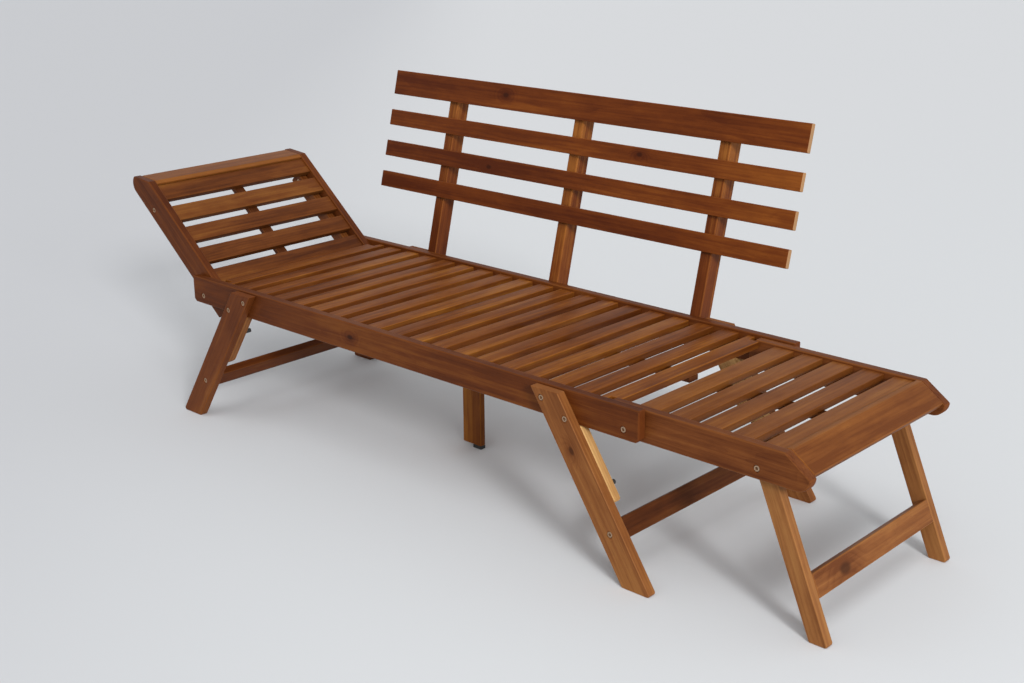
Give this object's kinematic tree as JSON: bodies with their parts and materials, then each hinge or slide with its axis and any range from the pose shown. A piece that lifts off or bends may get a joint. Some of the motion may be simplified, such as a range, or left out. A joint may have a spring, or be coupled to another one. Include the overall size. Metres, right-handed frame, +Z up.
{
  "type": "folding garden bench",
  "caption": "Slatted hardwood garden bench with a backrest, a hinged slatted panel at each end and leg frames that fold out under them.",
  "frame": {"origin": "middle of the bench's box on the floor, with the left panel raised and the right one flat on its legs", "axes": "+X along the bench to the right, +Y from the sitter's side to the backrest, +Z up"},
  "size_m": [1.9714, 0.6912, 0.7677],
  "materials": {
    "oiled_wood": "oiled",
    "shaded_wood": "oiled",
    "honey_wood": "oiled",
    "zinc_bolts": "yellowish zinc",
    "dark_pins": "matt",
    "rubber_pad": "matt"
  },
  "bodies": {
    "frame": {"front_rail": "oiled_wood", "back_rail": "oiled_wood", "seat_batten": "shaded_wood", "centre_leg": "shaded_wood", "centre_leg_pad": "rubber_pad", "front_left_leg": "oiled_wood", "front_right_leg": "oiled_wood", "back_left_leg": "oiled_wood", "back_right_leg": "oiled_wood", "leg_blocks": "honey_wood", "left_stretcher": "shaded_wood", "right_stretcher": "shaded_wood", "left_post": "shaded_wood", "centre_post": "shaded_wood", "right_post": "shaded_wood", "back_slat_bottom": "oiled_wood", "back_slat_lower": "oiled_wood", "back_slat_upper": "oiled_wood", "back_slat_top": "oiled_wood", "frame_bolts": "zinc_bolts", "post_bolts": "zinc_bolts", "pivot_bolts": "zinc_bolts", "stop_pins": "dark_pins", "seat_slat_01": "oiled_wood", "seat_slat_02": "oiled_wood", "seat_slat_03": "oiled_wood", "seat_slat_04": "oiled_wood", "seat_slat_05": "oiled_wood", "seat_slat_06": "oiled_wood", "seat_slat_07": "oiled_wood", "seat_slat_08": "oiled_wood", "seat_slat_09": "oiled_wood", "seat_slat_10": "oiled_wood", "seat_slat_11": "oiled_wood", "seat_slat_12": "oiled_wood", "seat_slat_13": "oiled_wood", "seat_slat_14": "oiled_wood", "seat_slat_15": "oiled_wood", "seat_slat_16": "oiled_wood", "seat_slat_17": "oiled_wood", "seat_slat_18": "oiled_wood", "seat_slat_19": "oiled_wood"},
    "left_panel": {"left_panel_front_rail": "oiled_wood", "left_panel_back_rail": "oiled_wood", "left_panel_slats": "oiled_wood", "left_panel_batten": "shaded_wood", "left_panel_end_board": "oiled_wood", "left_folding_leg_bolts": "zinc_bolts"},
    "left_leg_frame": {"left_folding_front_leg": "honey_wood", "left_folding_back_leg": "honey_wood", "left_folding_stretcher": "honey_wood"},
    "right_panel": {"right_panel_front_rail": "oiled_wood", "right_panel_back_rail": "oiled_wood", "right_panel_slats": "oiled_wood", "right_panel_batten": "shaded_wood", "right_panel_end_board": "oiled_wood", "right_folding_leg_bolts": "zinc_bolts"},
    "right_leg_frame": {"right_folding_front_leg": "honey_wood", "right_folding_back_leg": "honey_wood", "right_folding_stretcher": "honey_wood"}
  },
  "joints": [
    {"name": "left_panel_hinge", "type": "hinge", "parent": "frame", "child": "left_panel", "pos_m": [-0.69466, -0.0616, 0.301], "axis": [0, 1, 0], "range_deg": [-40, 40]},
    {"name": "right_panel_hinge", "type": "hinge", "parent": "frame", "child": "right_panel", "pos_m": [0.56934, -0.0616, 0.301], "axis": [0, -1, 0], "range_deg": [0, 80]},
    {"name": "left_leg_fold", "type": "hinge", "parent": "left_panel", "child": "left_leg_frame", "pos_m": [-0.90406, -0.0616, 0.47149], "axis": [0, 1, 0], "range_deg": [0, 113.2]},
    {"name": "right_leg_fold", "type": "hinge", "parent": "right_panel", "child": "right_leg_frame", "pos_m": [0.83934, -0.0616, 0.297], "axis": [0, 1, 0], "range_deg": [0, 113.2]}
  ]
}
